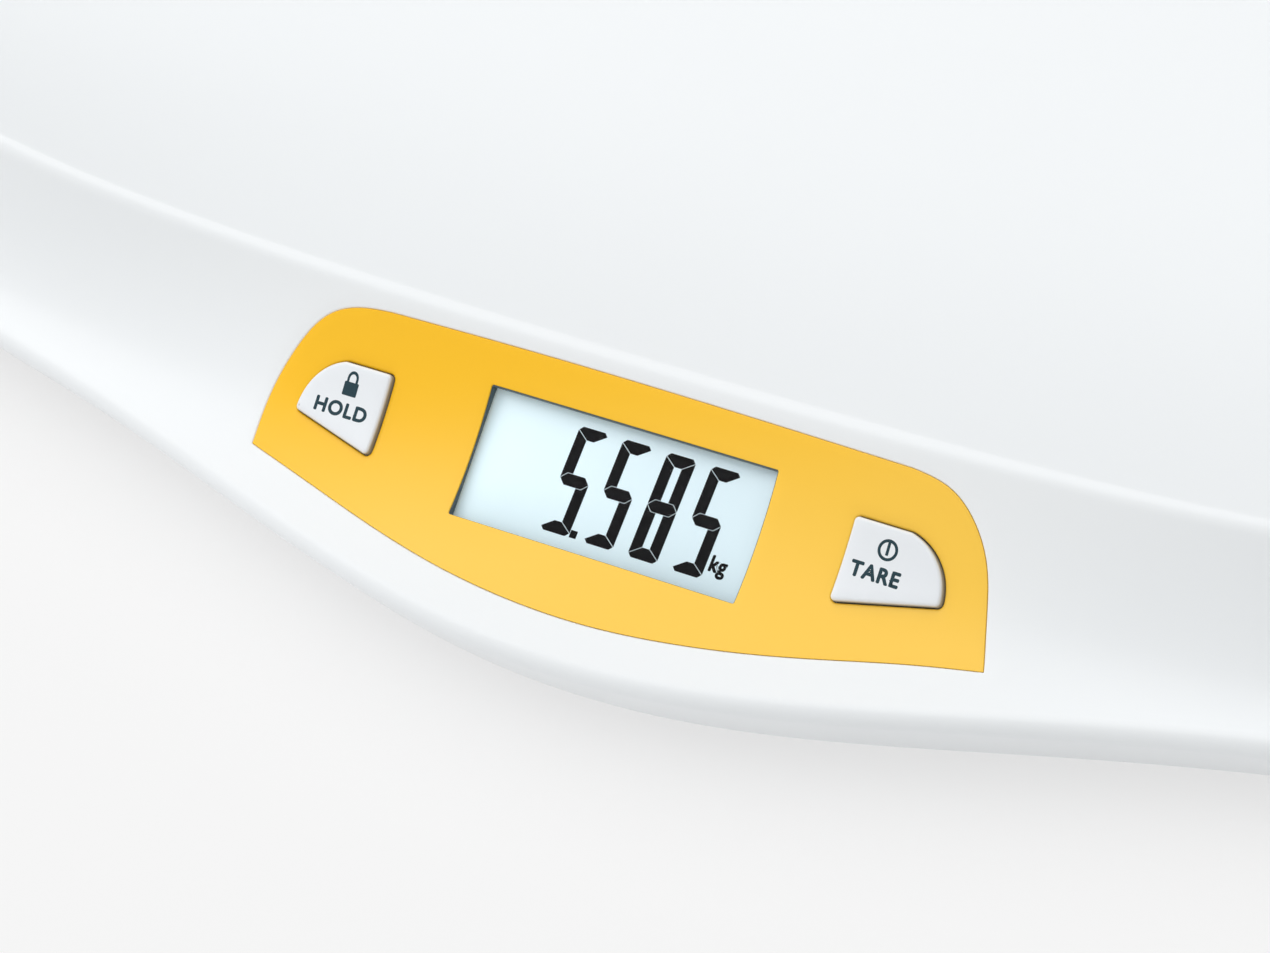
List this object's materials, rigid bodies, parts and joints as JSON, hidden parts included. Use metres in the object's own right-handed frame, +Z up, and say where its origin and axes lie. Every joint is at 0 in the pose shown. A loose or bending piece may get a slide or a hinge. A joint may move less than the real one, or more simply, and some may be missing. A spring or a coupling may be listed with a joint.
{
  "type": "digital baby weighing scale",
  "caption": "Curved white tray on a battery powered weighing base, with a bulged console, a numeric display in a yellow trim and a press key on each side.",
  "frame": {"origin": "on the floor, under the middle of the scale's overall box", "axes": "+Z up, +X along the length, -Y towards the console and the person who reads it"},
  "size_m": [0.541, 0.321, 0.0577],
  "materials": {
    "white_shell": "satin white moulded plastic",
    "yellow_trim": "fine satin amber yellow",
    "clear_lens": "clear window",
    "lcd_glass": "pale blue-grey reflective liquid crystal",
    "dark_plastic": "moulded black",
    "zebra_rubber": "striped silicone",
    "circuit_board": "green solder mask",
    "epoxy_black": "glossy black epoxy",
    "capacitor_sleeve": "dark sleeve",
    "zinc_steel": "zinc plated",
    "key_white": "satin cool white",
    "switch_black": "moulded black",
    "switch_stem": "moulded black",
    "base_plastic": "fine spark-eroded white",
    "potting_white": "white silicone potting",
    "battery_case": "lacquered steel sleeve",
    "snap_black": "moulded black",
    "pin_steel": "drawn steel",
    "unit_key_grey": "moulded grey",
    "foot_rubber": "matt black rubber",
    "foot_plastic": "moulded light grey",
    "cell_steel": "nickel plated spring steel",
    "holder_plastic": "moulded white",
    "wire_red": "red insulation",
    "wire_black": "black insulation",
    "lead_grey": "grey sheath"
  },
  "bodies": {
    "scale": {"upper_shell": "white_shell", "display_trim": "yellow_trim", "display_lens": "clear_lens", "display_glass": "lcd_glass", "display_frame": "dark_plastic", "zebra_strips": "zebra_rubber", "main_board": "circuit_board", "controller_blob": "epoxy_black", "board_capacitor": "capacitor_sleeve", "board_screws": "zinc_steel", "hold_switch": "switch_black", "tare_switch": "switch_black", "lower_shell": "base_plastic", "housing_screws": "zinc_steel", "gauge_pads": "potting_white", "battery": "battery_case", "battery_snap": "snap_black", "door_hinge_pin": "pin_steel", "unit_switch": "switch_black", "unit_board": "circuit_board", "battery_wire_red": "wire_red", "battery_wire_black": "wire_black", "unit_lead": "lead_grey", "rubber_foot_front_left": "foot_rubber", "foot_front_left": "foot_plastic", "load_cell_front_left": "cell_steel", "load_cell_holder_front_left": "holder_plastic", "load_cell_lead_front_left": "lead_grey", "rubber_foot_front_right": "foot_rubber", "foot_front_right": "foot_plastic", "load_cell_front_right": "cell_steel", "load_cell_holder_front_right": "holder_plastic", "load_cell_lead_front_right": "lead_grey", "rubber_foot_back_left": "foot_rubber", "foot_back_left": "foot_plastic", "load_cell_back_left": "cell_steel", "load_cell_holder_back_left": "holder_plastic", "load_cell_lead_back_left": "lead_grey", "rubber_foot_back_right": "foot_rubber", "foot_back_right": "foot_plastic", "load_cell_back_right": "cell_steel", "load_cell_holder_back_right": "holder_plastic", "load_cell_lead_back_right": "lead_grey"},
    "hold_key": {"hold_button": "key_white", "hold_switch_stem": "switch_stem"},
    "tare_key": {"tare_button": "key_white", "tare_switch_stem": "switch_stem"},
    "unit_key": {"unit_button": "unit_key_grey", "unit_switch_stem": "switch_stem"},
    "battery_cover": {"battery_door": "base_plastic"}
  },
  "joints": [
    {"name": "hold_key_travel", "type": "slide", "parent": "scale", "child": "hold_key", "axis": [0, 0.4413, -0.8973], "range_m": [0, 0.0005], "stiffness_N_per_m": 2000, "springref_m": -0.0002},
    {"name": "tare_key_travel", "type": "slide", "parent": "scale", "child": "tare_key", "axis": [0, 0.4413, -0.8973], "range_m": [0, 0.0005], "stiffness_N_per_m": 2000, "springref_m": -0.0002},
    {"name": "unit_key_travel", "type": "slide", "parent": "scale", "child": "unit_key", "axis": [0, 0, 1], "range_m": [0, 0.0005], "stiffness_N_per_m": 2000, "springref_m": -0.0002},
    {"name": "battery_door_hinge", "type": "hinge", "parent": "scale", "child": "battery_cover", "pos_m": [0, -0.0461, 0.0104], "axis": [1, 0, 0], "range_deg": [0, 100]}
  ]
}
